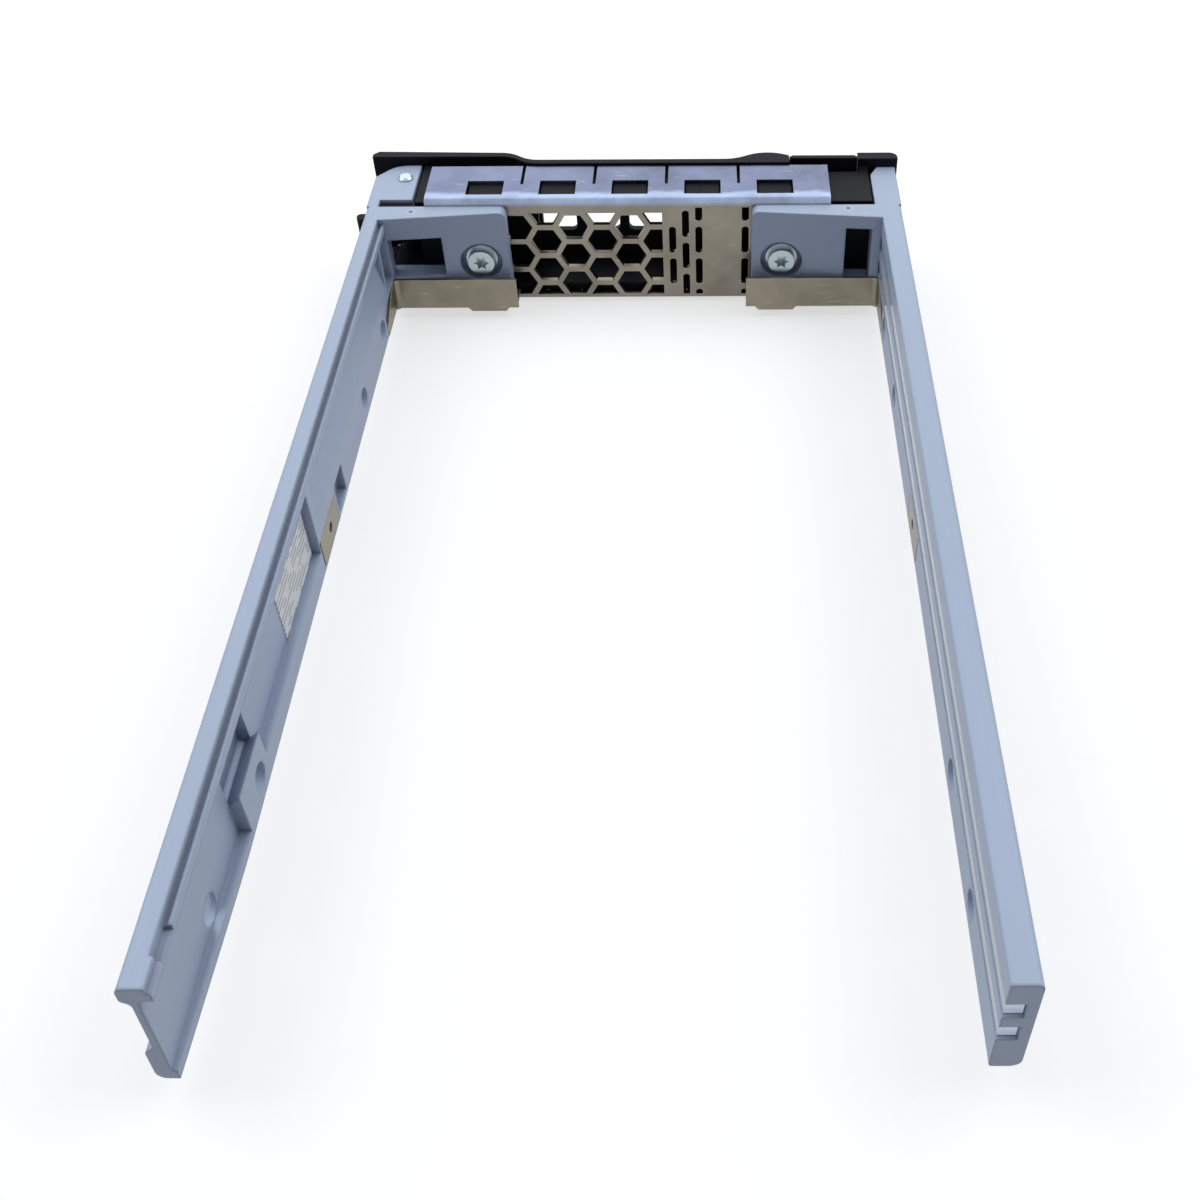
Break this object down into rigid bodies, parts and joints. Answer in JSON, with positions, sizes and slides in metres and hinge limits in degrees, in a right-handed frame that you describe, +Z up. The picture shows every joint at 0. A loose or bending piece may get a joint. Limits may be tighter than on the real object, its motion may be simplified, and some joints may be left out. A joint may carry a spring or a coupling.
{
  "type": "hot swap drive caddy",
  "caption": "Open frame hot swap caddy for a small server drive: two moulded side rails, a perforated steel front and a lever handle with a rocker latch.",
  "frame": {"origin": "on the drive's centreline, at the rear ends of the rails, level with their undersides", "axes": "+X across the caddy towards the light pipes, +Y along the rails towards the handle, +Z up"},
  "size_m": [0.0792, 0.1346, 0.0177],
  "materials": {
    "rail_plastic": "fine moulded texture, blue grey",
    "black_plastic": "fine moulded texture, black",
    "stainless_sheet": "cold rolled sheet, satin",
    "spring_steel": "rolled strip, satin",
    "zinc_steel": "bright zinc plating",
    "clear_plastic": "clear, polished",
    "label_paper": "coated white"
  },
  "bodies": {
    "caddy": {"left_rail": "rail_plastic", "right_rail": "rail_plastic", "front_bracket": "stainless_sheet", "left_ground_clip": "spring_steel", "right_ground_clip": "spring_steel", "left_side_spring": "spring_steel", "right_side_spring": "spring_steel", "clamp_screws": "zinc_steel", "front_bezel": "black_plastic", "latch_housing": "black_plastic", "handle_pin": "zinc_steel", "pin_clip": "spring_steel", "handle_spring": "spring_steel", "button_pin": "zinc_steel", "button_spring": "spring_steel", "light_pipe_upper": "clear_plastic", "light_pipe_lower": "clear_plastic", "label": "label_paper"},
    "handle": {"handle": "black_plastic"},
    "release_button": {"release_button": "black_plastic"}
  },
  "joints": [
    {"name": "handle_swing", "type": "hinge", "parent": "caddy", "child": "handle", "pos_m": [-0.0336, 0.1283, 0.0071], "axis": [0, 0, 1], "range_deg": [0, 50]},
    {"name": "button_press", "type": "hinge", "parent": "caddy", "child": "release_button", "pos_m": [0.0305, 0.1279, 0.0026], "axis": [1, 0, 0], "range_deg": [0, 5], "stiffness_Nm_per_rad": 0.05, "springref_deg": -8.59}
  ]
}
